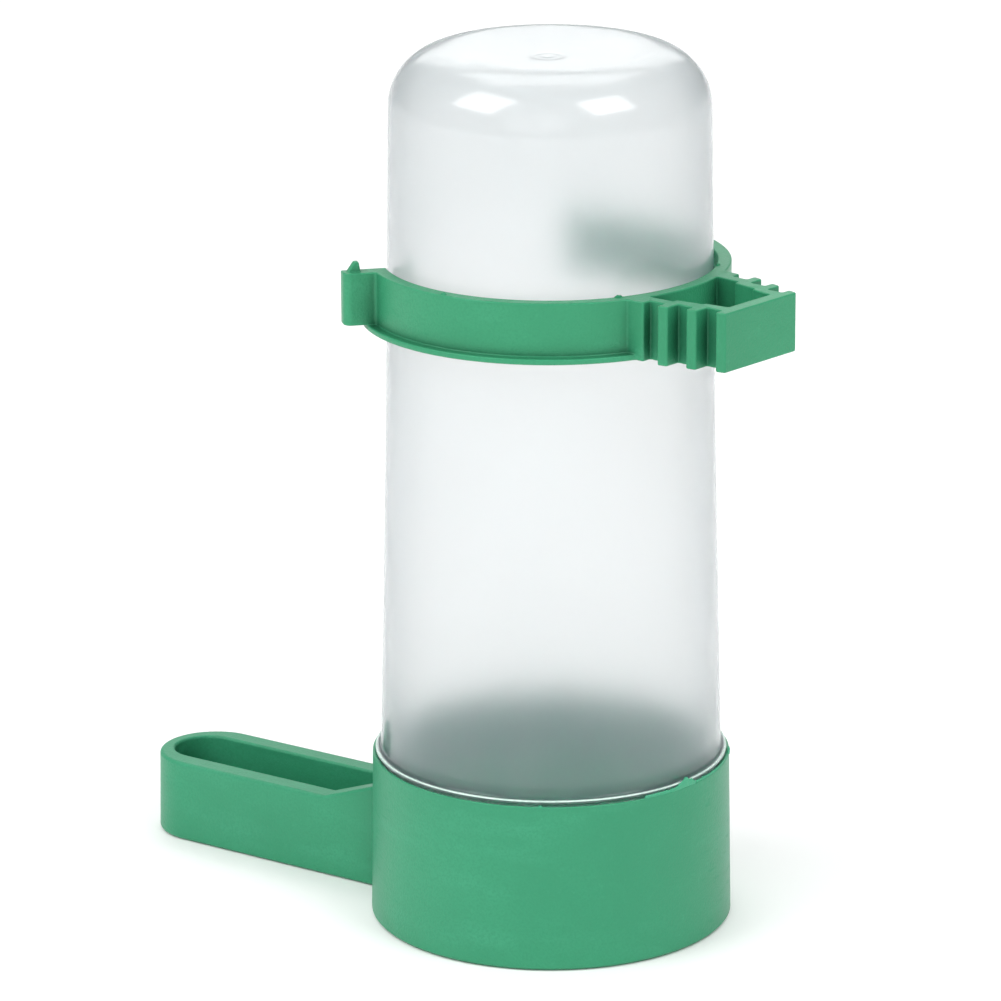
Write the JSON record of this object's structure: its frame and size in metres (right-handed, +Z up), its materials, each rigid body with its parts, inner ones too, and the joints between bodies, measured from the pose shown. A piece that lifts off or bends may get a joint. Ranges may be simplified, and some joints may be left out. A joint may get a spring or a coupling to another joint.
{
  "type": "clip-on bird cage drinker",
  "caption": "Upside-down bottle in a round cup with a long drinking trough; a snap ring with a ribbed block wedges it between cage wires.",
  "frame": {"origin": "middle of the cup's round foot, on the plane that the drinker stands on", "axes": "+Z up along the bottle's axis, +X along the trough, away from the cup"},
  "size_m": [0.1194, 0.0594, 0.14],
  "materials": {
    "base_green": "satin moulded polypropylene",
    "bottle_clear": "frosted translucent polypropylene, glossy outside",
    "clip_green": "satin moulded polypropylene"
  },
  "bodies": {
    "base": {"trough_base": "base_green"},
    "bottle": {"reservoir_bottle": "bottle_clear"},
    "clip": {"cage_clip": "clip_green"}
  },
  "joints": [
    {"name": "bottle_pull", "type": "slide", "parent": "base", "child": "bottle", "axis": [0, 0, 1], "range_m": [0, 0.03]},
    {"name": "clip_turn", "type": "hinge", "parent": "bottle", "child": "clip", "pos_m": [0, 0, 0.1022], "axis": [0, 0, 1], "continuous": true}
  ]
}
